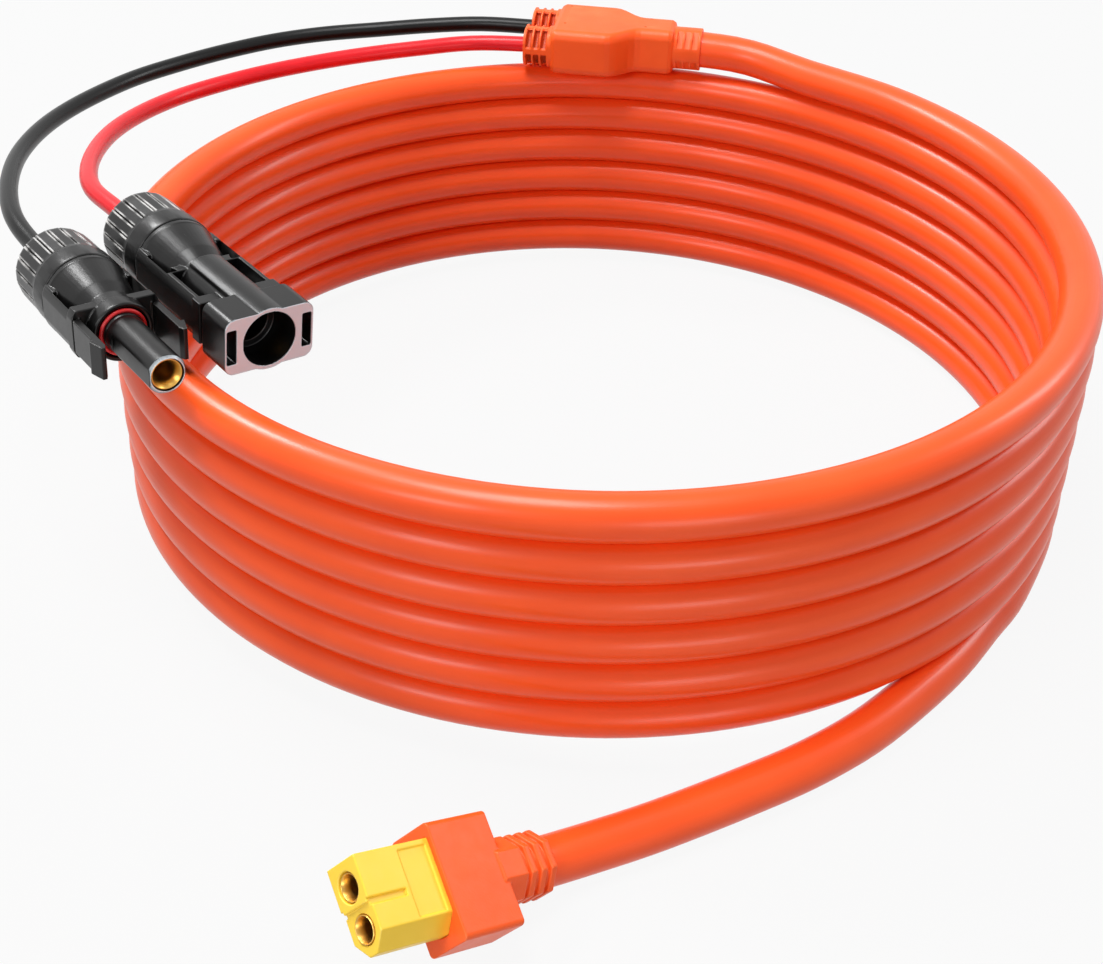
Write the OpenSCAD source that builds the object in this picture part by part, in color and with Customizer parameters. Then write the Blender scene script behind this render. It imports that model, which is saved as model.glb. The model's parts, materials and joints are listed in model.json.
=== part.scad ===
// Coiled solar adapter lead: two single-pole solar connectors, a Y-splitter, a coiled two-core
// trunk cable and a two-pole plug. Millimetres, +Z up, everything rests on the plane z = 0.

/* [Trunk cable] */
// Outer diameter of the trunk cable
cable_d = 9.4; // [8.6:0.1:10]
// Radius of the coil at the middle of the cable
coil_r = 105; // [100:1:110]
// Height that one turn gains
turn_rise = 9.4; // [9.4:0.1:10]
// Number of stacked turns below the first one
stacked_turns = 6; // [6:1:7]

/* [Leads] */
// Outer diameter of the black and red leads, which are the cores of the trunk
lead_d = 4.1; // [3.6:0.1:4.3]
// Diameter of the copper inside a lead
copper_d = 2.3; // [1.8:0.1:2.4]

/* [Splitter] */
// Length of the splitter body without its strain reliefs
splitter_l = 33; // [30:1:36]
// Width at the end with the two leads
splitter_w = 24; // [23:0.5:28]
// Width at the end with the trunk
splitter_neck_w = 12.4; // [12:0.2:15]
// Height of the splitter body
splitter_h = 12.2; // [11.4:0.2:12.6]
// Distance between the two leads
lead_spacing = 13.2; // [12.4:0.2:14]
// Length of each strain relief
relief_l = 7.2; // [6.8:0.2:9]
// Side of the strain relief on a lead
lead_relief_w = 10.2; // [9.6:0.2:11]
// Side of the strain relief on the trunk
trunk_relief_w = 11; // [10.8:0.1:11.4]
// Rows of slots along each strain relief
relief_slots = 3; // [2:1:3]

/* [Cap nuts] */
// Outer diameter of a cap nut
nut_d = 18; // [17.8:0.1:18.2]
// Length of a cap nut
nut_l = 17; // [16.5:0.5:18]
// Length of the smooth ring at the front of a cap nut
nut_ring_l = 5; // [4:0.5:7]
// Number of grip grooves round a cap nut
grip_grooves = 20; // [16:1:24]
// Depth of a grip groove
groove_depth = 0.7; // [0.4:0.1:1]
// Diameter of the hole for the lead in a cap nut
nut_hole_d = 7.2; // [6.4:0.2:8]
// Wall of a cap nut round the housing's threaded stub
nut_shell = 1.3; // [1.2:0.1:1.6]
// Length of the housing's threaded stub
stub_l = 10; // [9:0.5:10.5]
// Gap between stub and cap nut, all round
thread_gap = 0.2; // [0.1:0.05:0.3]

/* [Connector bodies] */
// Overall length of a connector in front of its cap nut
front_l = 37.5; // [37:0.5:39]
// Diameter of the nose
nose_d = 8; // [7.6:0.1:8.2]
// Length of the nose
nose_l = 19; // [18:0.5:19.5]
// Diameter of the outer mouth of the pin connector
mouth_d = 11.4; // [11.2:0.1:11.6]
// Depth of the outer mouth
mouth_l = 8; // [7:0.5:9]
// Gap all round between nose and the inner bore
nose_gap = 0.15; // [0.1:0.05:0.3]
// Width of the pin connector's front block
block_w = 19.4; // [19.2:0.2:21]
// Height of the pin connector's front block
block_h = 12; // [11.8:0.2:13]
// Length of the pin connector's front block
block_l = 8.8; // [8.4:0.2:9.4]
// Distance from the axis to the outer face of a side wing
wing_y = 9; // [8.8:0.1:9.2]
// Thickness of a side wing and of a latch finger
wing_t = 1.6; // [1.4:0.1:1.8]
// Height of a side wing
wing_h = 8.8; // [8:0.2:9.4]
// Height of a latch finger
latch_h = 6.8; // [6:0.2:7.2]
// Length of a latch finger
latch_l = 12.2; // [11:0.2:13]
// How far the latch hook stands out
hook_t = 0.6; // [0.5:0.1:0.8]
// Gap all round a latch finger in its slot and at its root
latch_gap = 0.2; // [0.2:0.05:0.3]
// Thickness of the O-ring's cord
o_ring_t = 1.2; // [1:0.1:1.4]

/* [Contacts] */
// Diameter of the mating pin
pin_d = 4; // [3.9:0.1:4]
// Outer diameter of the contact body
contact_d = 5.8; // [5.6:0.1:5.9]
// Diameter of the collar that holds a contact in its housing
collar_d = 6.6; // [6.4:0.1:6.8]
// Outer diameter of the crimp barrel
crimp_d = 4.8; // [4.7:0.1:5]
// Gap all round a contact in its housing
contact_gap = 0.1; // [0.05:0.05:0.2]
// Thickness of the contact band
band_t = 0.2; // [0.15:0.05:0.25]

/* [Seals and cages] */
// Length of the rubber cable seal
seal_l = 8; // [7:0.5:9]
// Outer diameter of the rubber cable seal
seal_d = 9; // [8.6:0.1:9.2]
// Gap all round the lead in the seal
seal_gap = 0.1; // [0.05:0.05:0.2]
// Outer diameter of the clamping cage
cage_d = 11.4; // [11:0.1:11.6]
// Length of the clamping cage
cage_l = 11; // [10:0.5:12]
// Number of slits in the clamping cage
cage_slits = 6; // [4:1:8]

/* [Plug] */
// Width of the plug housing
plug_w = 16; // [15.8:0.1:16.2]
// Thickness of the plug housing
plug_t = 8.1; // [8:0.1:8.3]
// Length of the plug housing that stands out of its backshell
plug_l = 15.5; // [14:0.5:16.5]
// Corner cut that keys the plug
key_cut = 3; // [2.6:0.1:3.4]
// Distance between the two plug contacts
plug_pitch = 7.2; // [7.2:0.1:7.4]
// Bore of a plug contact
plug_bore_d = 3.5; // [3.4:0.05:3.6]
// Outer diameter of a plug contact
plug_contact_d = 5; // [4.8:0.1:5.2]
// Depth of a plug contact's bore
plug_bore_l = 11; // [10:0.5:12]
// Width of the orange backshell
shell_w = 20.8; // [20:0.2:22]
// Thickness of the orange backshell
shell_t = 10.8; // [10.4:0.2:11.6]
// Length of the orange backshell
shell_l = 13.3; // [13:0.1:15]
// Diameter across the corners of the ringed neck
neck_d = 12.6; // [12.4:0.1:13]
// Length of the ringed neck
neck_l = 12; // [12:0.5:14]
// Number of rings on the neck
neck_rings = 3; // [2:1:3]

/* [Hidden] */

round_fn = 64;    // facets of round things in the preview
tube_sides = 12;  // sides of the trunk tubes
lead_sides = 8;   // sides of the lead tubes
over = 1;         // how far a cutter runs past a face
fit = 0.05;       // gap all round where a moulding closes on a cable or insert

// The coil's axis, as seen from the part's origin
coil_at = [47.4, 24.4, 0];

// Heights of the trunk: the last turn lies on the floor, the first starts at the splitter
cable_r = cable_d / 2;
tail_start = 90;            // angle where the lowest turn reaches the floor, clockwise from the back
top_z = cable_r + turn_rise * (stacked_turns + tail_start / 360);
splitter_lift = 1.7;        // the splitter rides this much above the first turn's start
splitter_z = top_z + splitter_lift;
splitter_turn = -7.5;       // heading of the splitter
splitter_at = [1.5, coil_r, splitter_z];
splitter_end = splitter_l / 2 + relief_l;
jacket_end = 8;             // where the trunk's jacket stops inside the splitter
fan_y = 2.9;                // half the distance between the leads in the middle of the splitter
core_y = lead_d / 2 + fit;  // the cores lie side by side in the trunk
lead_end = -2.7;            // where a lead's insulation stops inside a connector
lead_straight = 8.5;        // how far a lead runs straight behind its cap nut
jacket_inset = 10;          // how far the trunk's jacket runs into the plug's neck

// Places of the connectors: the front face of the cap nut, heading, lift and roll
socket_at = [-102.8, -51.4, 69.1];
socket_heading = -52;
socket_lift = 1;
socket_roll = -4;
pin_at = [-87.5, -38.4, 71];
pin_heading = -49.6;
pin_lift = -1.5;
pin_roll = -5;

// Place of the plug: the middle of its mating face
plug_at = [-36.2, -163.6, 21.4];
plug_heading = -138.5;
plug_lift = 22;
plug_roll = -33;
plug_back = plug_l + shell_l + neck_l;

// A point given in a connector's own axes, in the coil's axes
function turned(p, lift, heading) =
    let (x = p[0] * cos(lift) - p[2] * sin(lift), z = p[0] * sin(lift) + p[2] * cos(lift))
    [x * cos(heading) - p[1] * sin(heading), x * sin(heading) + p[1] * cos(heading), z];
function on_socket(x) = socket_at + turned([x, 0, 0], socket_lift, socket_heading);
function on_pin(x) = pin_at + turned([x, 0, 0], pin_lift, pin_heading);
function on_plug(x) = plug_at + turned([x, 0, 0], plug_lift, plug_heading);
function on_splitter(x, y) = splitter_at + turned([x, y, 0], 0, splitter_turn);

// Routes, seen from the coil's axis
function on_coil(angle) = [coil_r * sin(angle), coil_r * cos(angle), top_z - turn_rise * angle / 360];
first_turn_from = 30;
first_turn_to = 375;
first_turn_step = 15;
first_turn_route = concat(
    [on_splitter(jacket_end, 0), on_splitter(splitter_end, 0), [38, 99.4, top_z + 0.8]],
    [for (angle = [first_turn_from : first_turn_step : first_turn_to]) on_coil(angle)]);
tail_step = 15;
tail_route = concat(
    [for (angle = [tail_start - tail_step : tail_step : tail_start + 2 * tail_step])
        [coil_r * sin(angle), coil_r * cos(angle), cable_r]],
    [for (p = [[83, -65], [75, -77], [66, -88], [55, -99.6], [43, -109.2], [31, -116.8],
        [20.5, -123], [11.5, -128], [3, -132.2]]) [p[0], p[1], cable_r]],
    [on_plug(-plug_back), on_plug(-plug_back + jacket_inset)]);
black_route = concat(
    [on_splitter(jacket_end, core_y), on_splitter(jacket_end - 1.5, core_y), on_splitter(0, fan_y),
        on_splitter(-8, lead_spacing / 2), on_splitter(-splitter_end, lead_spacing / 2)],
    [[-36, 117.2, 64.6], [-50, 117.4, 63.6], [-65, 115.6, 62.6], [-80, 112.4, 62], [-93, 107, 61.6],
        [-105, 98, 61.6], [-115, 88, 61.8], [-124, 76, 62.4], [-130.8, 62, 63.2], [-135.2, 48, 64.2],
        [-137.2, 34, 65.4], [-137.2, 20, 66.6], [-135.4, 7, 67.8], [-131.8, -7, 68.8],
        [-126.4, -20, 69.2]],
    [on_socket(-nut_l - lead_straight), on_socket(lead_end)]);
red_route = concat(
    [on_splitter(jacket_end, -core_y), on_splitter(jacket_end - 1.5, -core_y), on_splitter(0, -fan_y),
        on_splitter(-8, -lead_spacing / 2), on_splitter(-splitter_end, -lead_spacing / 2)],
    [[-38, 102.4, 64.6], [-52, 99, 64], [-66, 94.6, 63.4], [-79, 88.6, 63], [-91, 80.6, 63],
        [-101.6, 71, 63.2], [-110, 59.6, 64], [-115.6, 46, 65.4], [-118.4, 32, 67],
        [-118.6, 18, 68.6], [-116.6, 4, 70.2], [-112.4, -8, 71.2]],
    [on_pin(-nut_l - lead_straight), on_pin(lead_end)]);

// Places along a connector, from the front face of its cap nut
crimp_from = lead_end + 0.3;
crimp_l = 7.7;
collar_front = 12.5;
collar_l = 2;
shell_bore_d = collar_d + 2 * contact_gap;
contact_bore_d = contact_d + 2 * contact_gap;
stub_d = nut_d - 2 * (nut_shell + thread_gap);
stub_bore_d = cage_d + 0.5;
stub_bore_to = 3.2;
flange_t = 1.2;
cone_from_d = nut_d - 0.6;
nose_from = front_l - nose_l;
o_ring_seat_d = nose_d + 0.4;
o_ring_x = nose_from - o_ring_t / 2 - 0.3;
root_flange_d = 12.4;
root_flange_l = 3.7;
cross_to = nose_from - root_flange_l;
cross_l = 2.4;
cross_from = cross_to - cross_l;
cone_back = 6.2;
cone_to = cross_to - cone_back;
cone_to_d = 14;
barrel_back = 3.4;
barrel_from = cross_to - barrel_back;
barrel_d = 11.8;
latch_root_x = cross_to + 0.9;
latch_root_r = wing_t / 2;
latch_y = wing_y - latch_root_r;
bore_gap = 0.03;          // gap all round between a mating pin and its bore
socket_depth = 17;
band_back = 14;
band_from = front_l - band_back;
band_l = 8;
nut_wall = 3.5;
nut_chamber_from = -nut_l + nut_wall;
cage_from = nut_chamber_from + 1;
seal_from = cage_from + 1.5;
pin_tip_x = front_l - mouth_l - 0.5;
inner_bore_l = 21;
inner_bore_from = front_l - inner_bore_l;
bridge_back = 27.2;
bridge_from = front_l - bridge_back;
bridge_l = 2.2;
wing_back = 11.1;
wing_end = front_l - wing_back;
wing_end_l = 2.9;

// ---- helpers ----

function unit(v) = v / norm(v);

// One ring of points round a route's point, square to the route there
function ring(route, i, r, sides) =
    let (n = len(route) - 1,
        along = unit(route[min(i + 1, n)] - route[max(i - 1, 0)]),
        side = unit(cross(along, [0, 0, 1])),
        up = cross(side, along))
    [for (k = [0 : sides - 1])
        let (a = 360 * (k + 0.5) / sides) route[i] + r * (cos(a) * side + sin(a) * up)];

// A solid tube swept along a route
module tube(route, r, sides) {
    n = len(route);
    points = [for (i = [0 : n - 1]) each ring(route, i, r, sides)];
    walls = [for (i = [0 : n - 2], k = [0 : sides - 1])
        let (a = i * sides + k, b = i * sides + (k + 1) % sides)
        each [[a, b, b + sides], [a, b + sides, a + sides]]];
    ends = [[for (k = [sides - 1 : -1 : 0]) k], [for (k = [0 : sides - 1]) (n - 1) * sides + k]];
    polyhedron(points, concat(walls, ends), convexity = 10);
}

// A round bar along +X from x0 to x1
module bar(x0, x1, d) {
    translate([x0, 0, 0]) rotate([0, 90, 0]) cylinder(h = x1 - x0, d = d, $fn = round_fn);
}

// A body turned about the X axis, from [x, diameter] pairs closed on the axis
module turned_body(pairs) {
    first = pairs[0];
    last = pairs[len(pairs) - 1];
    rotate([0, 90, 0]) rotate_extrude($fn = round_fn)
        polygon(concat([[0, first[0]]], [for (p = pairs) [p[1] / 2, p[0]]], [[0, last[0]]]));
}

// A box from x0 to x1, centred on the axis in Y and Z
module block(x0, x1, w, h) {
    translate([x0, -w / 2, -h / 2]) cube([x1 - x0, w, h]);
}

// A bar with a rectangular section whose corners are round
module round_block(x0, x1, w, h, r) {
    translate([x0, 0, 0]) rotate([90, 0, 90]) linear_extrude(x1 - x0) union() {
        square([w - 2 * r, h], center = true);
        square([w, h - 2 * r], center = true);
        for (sy = [-1, 1], sz = [-1, 1])
            translate([sy * (w / 2 - r), sz * (h / 2 - r)]) circle(r = r, $fn = 32);
    }
}

module place(at, roll, lift, heading) {
    translate(coil_at + at) rotate([roll, -lift, heading]) children();
}
module at_socket() { place(socket_at, socket_roll, socket_lift, socket_heading) children(); }
module at_pin() { place(pin_at, pin_roll, pin_lift, pin_heading) children(); }
module at_plug() { place(plug_at, plug_roll, plug_lift, plug_heading) children(); }
module at_splitter() { place(splitter_at, 0, 0, splitter_turn) children(); }

// ---- trunk and leads ----

module trunk_coil() {
    color("orangered") translate(coil_at) rotate_extrude($fn = 128) union() {
        for (i = [0 : stacked_turns - 1])
            translate([coil_r, cable_r + i * turn_rise]) circle(d = cable_d, $fn = 48);
        translate([coil_r - cable_r / 2, cable_r])
            square([cable_r, (stacked_turns - 1) * turn_rise]);
    }
}

module trunk_first_turn() {
    color("orangered") translate(coil_at) tube(first_turn_route, cable_r, tube_sides);
}

module trunk_tail() {
    color("orangered") translate(coil_at) tube(tail_route, cable_r, tube_sides);
}

module black_lead() {
    color("black") translate(coil_at) tube(black_route, lead_d / 2, lead_sides);
}

module red_lead() {
    color("crimson") translate(coil_at) tube(red_route, lead_d / 2, lead_sides);
}

// ---- splitter ----

section_fn = 24;      // points of one section of the splitter
section_r = 2.6;      // corner radius of the sections
end_round = 1.4;      // how far the two end faces are rounded
waist_l = 9;          // length of the stretch where the width changes
waist_mid = 3;        // middle of that stretch

// Half the width of the splitter at x
function half_width(x) =
    let (t = max(0, min(1, (x - waist_mid) / waist_l + 0.5)), s = (1 - cos(180 * t)) / 2)
    (splitter_w + (splitter_neck_w - splitter_w) * s) / 2;

// A rounded rectangle in the YZ plane at x, drawn in by inset
function section(x, inset) =
    let (w = half_width(x) - inset - section_r, h = splitter_h / 2 - inset - section_r)
    [for (k = [0 : section_fn - 1])
        let (a = 360 * (k + 0.5) / section_fn)
        [x, sign(cos(a)) * w + section_r * cos(a), sign(sin(a)) * h + section_r * sin(a)]];

module splitter_body() {
    half = splitter_l / 2;
    stations = concat([[-half, end_round], [-half + end_round * 0.3, end_round * 0.3], [-half + end_round, 0]],
        [for (i = [0 : 6]) [waist_mid + waist_l * (i / 6 - 0.5), 0]],
        [[half - end_round, 0], [half - end_round * 0.3, end_round * 0.3], [half, end_round]]);
    n = len(stations);
    points = [for (s = stations) each section(s[0], s[1])];
    walls = [for (i = [0 : n - 2], k = [0 : section_fn - 1])
        let (a = i * section_fn + k, b = i * section_fn + (k + 1) % section_fn)
        each [[a, b + section_fn, b], [a, a + section_fn, b + section_fn]]];
    ends = [[for (k = [0 : section_fn - 1]) k],
        [for (k = [section_fn - 1 : -1 : 0]) (n - 1) * section_fn + k]];
    polyhedron(points, concat(walls, ends), convexity = 6);
}

slot_l = 1.5;               // length of a relief slot along the cable
lead_slot_depth = 1.6;      // depth of the slots over a lead, from a corner of the relief
trunk_slot_depth = 0.5;     // depth of the slots over the trunk
lead_relief_corner = 4;     // corner radius of a strain relief on a lead
trunk_relief_corner = 5.2;  // corner radius of the strain relief on the trunk

// A slotted strain relief from x0 away from the body
module relief(x0, w, way, depth, corner) {
    far = x0 + way * relief_l;
    pitch = relief_l / (relief_slots + 0.5);
    reach = (w / 2 - corner) * sqrt(2) + corner;
    slot_w = 0.6 * w;
    difference() {
        round_block(min(x0 - way, far), max(x0 - way, far), w, w, corner);
        for (i = [0 : relief_slots - 1], a = [45 : 90 : 315])
            translate([x0 + way * pitch * (i + 0.75), 0, 0]) rotate([a, 0, 0])
                translate([-slot_l / 2, -slot_w / 2, reach - depth])
                    cube([slot_l, slot_w, depth + over]);
    }
}

inner_mould_l = 17;   // length of the inner mould
inner_mould_w = 19;   // its width at the leads
inner_mould_h = 8;    // its height
lead_bore_to = -7.5;  // where the overmould's bores for the leads end

module inner_mould_shape(gap) {
    translate([-inner_mould_l / 2 - gap, 0, 0]) rotate([90, 0, 90]) linear_extrude(inner_mould_l / 2 + gap)
        square([inner_mould_w + 2 * gap, inner_mould_h + 2 * gap], center = true);
    translate([-gap, 0, 0]) rotate([90, 0, 90]) linear_extrude(inner_mould_l / 2 + 2 * gap - fit)
        square([splitter_neck_w - 2.4 + 2 * gap, inner_mould_h + 2 * gap], center = true);
}

module splitter_overmould() {
    color("orangered") at_splitter() difference() {
        union() {
            splitter_body();
            relief(splitter_l / 2, trunk_relief_w, 1, trunk_slot_depth, trunk_relief_corner);
            for (side = [-1, 1])
                translate([0, side * lead_spacing / 2, 0])
                    relief(-splitter_l / 2, lead_relief_w, -1, lead_slot_depth, lead_relief_corner);
        }
        inner_mould_shape(fit);
        bar(jacket_end - 0.2, splitter_end + over, cable_d + 2 * fit);
        for (side = [-1, 1])
            translate([0, side * lead_spacing / 2, 0]) bar(-splitter_end - over, lead_bore_to, lead_d + 2 * fit);
    }
}

module splitter_inner_mould() {
    color("ivory") difference() {
        at_splitter() inner_mould_shape(0);
        at_splitter() bar(jacket_end - 0.1, splitter_end, cable_d + 2 * fit);
        translate(coil_at) {
            tube(black_route, lead_d / 2 + 2 * fit, lead_sides);
            tube(red_route, lead_d / 2 + 2 * fit, lead_sides);
        }
    }
}

// ---- what both connectors share ----

// Side walls that carry on from the cap nut, inside its outline
module wings(x1) {
    intersection() {
        bar(0, x1, 2 * wing_y + 0.6);
        for (side = [-1, 1])
            translate([0, side * (wing_y - wing_t / 2), 0]) block(0, x1, wing_t, wing_h);
    }
}

module stub_and_cone() {
    bar(-stub_l, over, stub_d);
    turned_body([[0, nut_d - 0.4], [flange_t, nut_d - 0.4], [flange_t, cone_from_d],
        [cone_to, cone_to_d], [barrel_from, barrel_d], [cross_to, barrel_d]]);
}

// The bores for the cable seal, the contact's collar and the contact's body
module contact_bores(contact_to) {
    bar(-stub_l - over, stub_bore_to, stub_bore_d);
    bar(stub_bore_to - 0.5, collar_front, shell_bore_d);
    bar(collar_front - 0.5, contact_to, contact_bore_d);
}

web_t = 3.2;
module web(x1) {
    block(0.5, x1, 2 * wing_y - wing_t, web_t);
}

// A crimp barrel, an open one, up to the collar that holds the contact
module crimp_and_collar() {
    difference() {
        union() {
            bar(crimp_from, collar_front - collar_l, crimp_d);
            bar(collar_front - collar_l, collar_front, collar_d);
        }
        bar(crimp_from - over, crimp_from + crimp_l, copper_d + 2 * fit);
    }
}

module conductor() {
    color("peru") bar(lead_end + 0.05, crimp_from + crimp_l - 0.1, copper_d);
}

module seal() {
    color("dimgray") difference() {
        bar(seal_from, seal_from + seal_l, seal_d);
        bar(seal_from - over, seal_from + seal_l + over, lead_d + 2 * seal_gap);
    }
}

module clamp_cage() {
    slit_w = 1;
    color("gray") difference() {
        turned_body([[cage_from, cage_d - 1.6], [cage_from + 2, cage_d], [cage_from + cage_l, cage_d]]);
        bar(seal_from - 0.01, cage_from + cage_l + over, seal_d + 2 * fit);
        bar(cage_from - over, 0, lead_d + 6 * seal_gap);
        for (i = [0 : cage_slits - 1])
            rotate([360 * i / cage_slits, 0, 0]) translate([cage_from - over, -slit_w / 2, 0])
                cube([cage_l * 0.6 + over, slit_w, cage_d]);
    }
}

module cap_nut() {
    rear_round = 1.6;
    inner_d = stub_d + 2 * thread_gap;
    chamber_d = cage_d + 1.2;
    groove_w = 0.9;
    grip_l = nut_l - nut_ring_l;
    color("#26272a") difference() {
        turned_body([[-nut_l, nut_d - 2 * rear_round - 0.6], [-nut_l + rear_round, nut_d - 0.6],
            [-nut_ring_l, nut_d - 0.2], [-nut_ring_l, nut_d], [-0.1, nut_d]]);
        bar(-stub_l - 0.5, over, inner_d);
        bar(nut_chamber_from, -stub_l, chamber_d);
        bar(-nut_l - over, 0, nut_hole_d);
        for (i = [0 : grip_grooves - 1])
            rotate([360 * i / grip_grooves, 0, 0])
                translate([-nut_l - over, -groove_w / 2, nut_d / 2 - 0.3 - groove_depth])
                    cube([grip_l - 0.4 + over, groove_w, groove_depth + over]);
    }
}

// ---- the connector with the nose ----

module socket_housing() {
    tip_cut = 0.6;
    color("#26272a") at_socket() difference() {
        union() {
            stub_and_cone();
            wings(cross_to);
            web(cross_to);
            intersection() {
                bar(cross_from, cross_to, 2 * wing_y + 1.2);
                block(cross_from, cross_to, 2 * wing_y, wing_h + 1.2);
            }
            for (side = [-1, 1])
                translate([0, side * latch_y, 0]) block(cross_to - 0.5, latch_root_x, wing_t, latch_h);
            turned_body([[cross_to - 0.5, root_flange_d],
                [o_ring_x - o_ring_t / 2 - fit, root_flange_d], [o_ring_x - o_ring_t / 2 - fit, o_ring_seat_d],
                [nose_from, o_ring_seat_d], [nose_from, nose_d], [front_l - tip_cut, nose_d],
                [front_l, nose_d - 2 * tip_cut]]);
        }
        contact_bores(front_l + over);
        for (side = [-1, 1])
            translate([latch_root_x, side * latch_y, -latch_h])
                cylinder(h = 2 * latch_h, r = latch_root_r + latch_gap, $fn = 32);
    }
}

// A latch finger, as seen from above, on the +Y side
module latch() {
    hook_l = 3.6;
    tip_x = latch_root_x + latch_l;
    translate([0, 0, -latch_h / 2]) linear_extrude(latch_h) union() {
        translate([latch_root_x, latch_y]) circle(r = latch_root_r, $fn = 32);
        polygon([[latch_root_x, latch_y - latch_root_r], [tip_x - 1, latch_y - latch_root_r],
            [tip_x, latch_y - latch_root_r + 0.5], [tip_x, latch_y + latch_root_r - 0.3],
            [tip_x - hook_l + 0.4, latch_y + latch_root_r + hook_t],
            [tip_x - hook_l, latch_y + latch_root_r + hook_t],
            [tip_x - hook_l, latch_y + latch_root_r], [latch_root_x, latch_y + latch_root_r]]);
    }
}

module socket_latch_left() {
    color("#26272a") at_socket() latch();
}

module socket_latch_right() {
    color("#26272a") at_socket() mirror([0, 1, 0]) latch();
}

module socket_o_ring() {
    color("red") at_socket() translate([o_ring_x, 0, 0]) rotate([0, 90, 0])
        rotate_extrude($fn = round_fn)
            translate([o_ring_seat_d / 2 + o_ring_t / 2, 0]) circle(d = o_ring_t, $fn = 24);
}

module socket_contact() {
    mouth_cut = 0.5;
    tip = front_l - 0.8;
    color("gold") at_socket() difference() {
        union() {
            crimp_and_collar();
            bar(collar_front - over, tip, contact_d);
        }
        bar(tip - socket_depth, tip + over, pin_d + 2 * bore_gap);
        bar(band_from - fit, band_from + band_l + fit, pin_d + 2 * band_t + 2 * bore_gap + 2 * fit);
        translate([tip - mouth_cut, 0, 0]) rotate([0, 90, 0])
            cylinder(h = mouth_cut + 0.01, d1 = pin_d + 2 * bore_gap, d2 = pin_d + 2 * mouth_cut + 0.2,
                $fn = round_fn);
    }
}

module socket_contact_band() {
    louvres = 8;
    louvre_w = 0.5;
    color("darkgoldenrod") at_socket() difference() {
        bar(band_from, band_from + band_l, pin_d + 2 * band_t + 2 * bore_gap);
        bar(band_from - over, band_from + band_l + over, pin_d + 2 * bore_gap);
        for (i = [0 : louvres - 1])
            rotate([360 * i / louvres, 0, 0]) translate([band_from + 1.5, -louvre_w / 2, 0])
                cube([band_l - 3, louvre_w, pin_d]);
    }
}

module socket_conductor() { at_socket() conductor(); }
module socket_seal() { at_socket() seal(); }
module socket_clamp_cage() { at_socket() clamp_cage(); }
module socket_nut() { at_socket() cap_nut(); }

// ---- the connector with the bore ----

module pin_housing() {
    rib_w = 7;
    rib_h = block_h + 1.2;
    corner_r = 2.2;
    block_from = front_l - block_l;
    slot_t = wing_t + hook_t - 0.2;
    slot_h = latch_h + 2 * latch_gap;
    color("#26272a") at_pin() difference() {
        union() {
            stub_and_cone();
            wings(wing_end);
            web(wing_end);
            bar(cross_to - 0.5, front_l, barrel_d);
            intersection() {
                bar(cross_from, front_l, rib_h);
                block(cross_from, front_l, rib_w, rib_h);
            }
            block(bridge_from, bridge_from + bridge_l, 2 * wing_y - wing_t, wing_h);
            block(wing_end - wing_end_l, wing_end, 2 * wing_y, wing_h);
            round_block(block_from, front_l, block_w, block_h, corner_r);
        }
        contact_bores(inner_bore_from - 1);
        bar(inner_bore_from, front_l, nose_d + 2 * nose_gap);
        bar(inner_bore_from - 2, inner_bore_from + 0.01, contact_bore_d);
        bar(front_l - mouth_l, front_l + over, mouth_d);
        for (side = [-1, 1])
            translate([0, side * latch_y, 0]) block(block_from - over, front_l + over, slot_t, slot_h);
    }
}

module pin_contact() {
    shoulder_to = inner_bore_from - 0.5;
    tip_cut = 0.7;
    color("gold") at_pin() union() {
        crimp_and_collar();
        turned_body([[collar_front - 0.5, contact_d], [shoulder_to, contact_d], [shoulder_to, pin_d],
            [pin_tip_x - tip_cut, pin_d], [pin_tip_x, pin_d - 2 * tip_cut]]);
    }
}

module pin_conductor() { at_pin() conductor(); }
module pin_seal() { at_pin() seal(); }
module pin_clamp_cage() { at_pin() clamp_cage(); }
module pin_nut() { at_pin() cap_nut(); }

// ---- the plug ----

insert_l = 6;                       // how far the yellow housing runs into the backshell
cup_l = 5;                          // length of a solder cup
cup_bore_d = copper_d + 0.4;
sleeve_t = 0.3;
contact_back = plug_l + insert_l;   // where the solder cups start
core_from = contact_back + 0.9 * cup_l;

// The keyed outline of the plug housing: square at -Y, corners cut at +Y
module keyed_prism(x0, x1, w, t, cut) {
    translate([x0, 0, 0]) rotate([90, 0, 90]) linear_extrude(x1 - x0)
        polygon([[-w / 2, -t / 2], [w / 2 - cut, -t / 2], [w / 2, -t / 2 + cut],
            [w / 2, t / 2 - cut], [w / 2 - cut, t / 2], [-w / 2, t / 2]]);
}

module plug_housing() {
    hole_d = plug_contact_d + 2 * fit;
    mouth_cut = 0.15;
    groove_w = 1.1;
    groove_l = 8;
    groove_depth = 0.5;
    panel_l = 6;
    panel_w = 11.6;
    panel_depth = 0.25;
    step = 0.5;
    color("gold") at_plug() difference() {
        keyed_prism(-contact_back, 0, plug_w, plug_t, key_cut);
        translate([-step, 0, -plug_t]) cube([step + over, plug_w, 2 * plug_t]);
        for (side = [-1, 1]) {
            translate([-contact_back - over, side * plug_pitch / 2, 0]) rotate([0, 90, 0])
                cylinder(h = contact_back + 2 * over, d = hole_d, $fn = round_fn);
            translate([-step - mouth_cut, side * plug_pitch / 2, 0]) rotate([0, 90, 0])
                cylinder(h = step + mouth_cut + 0.01, d = hole_d + 2 * mouth_cut, $fn = round_fn);
            translate([-groove_l, -groove_w / 2, side * plug_t / 2 - groove_depth])
                cube([groove_l + over, groove_w, 2 * groove_depth]);
            translate([-plug_l + 0.6, -plug_w / 2 + 1, side * (plug_t / 2 - panel_depth / 2) - panel_depth / 2])
                cube([panel_l, panel_w, panel_depth]);
        }
    }
}

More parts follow.
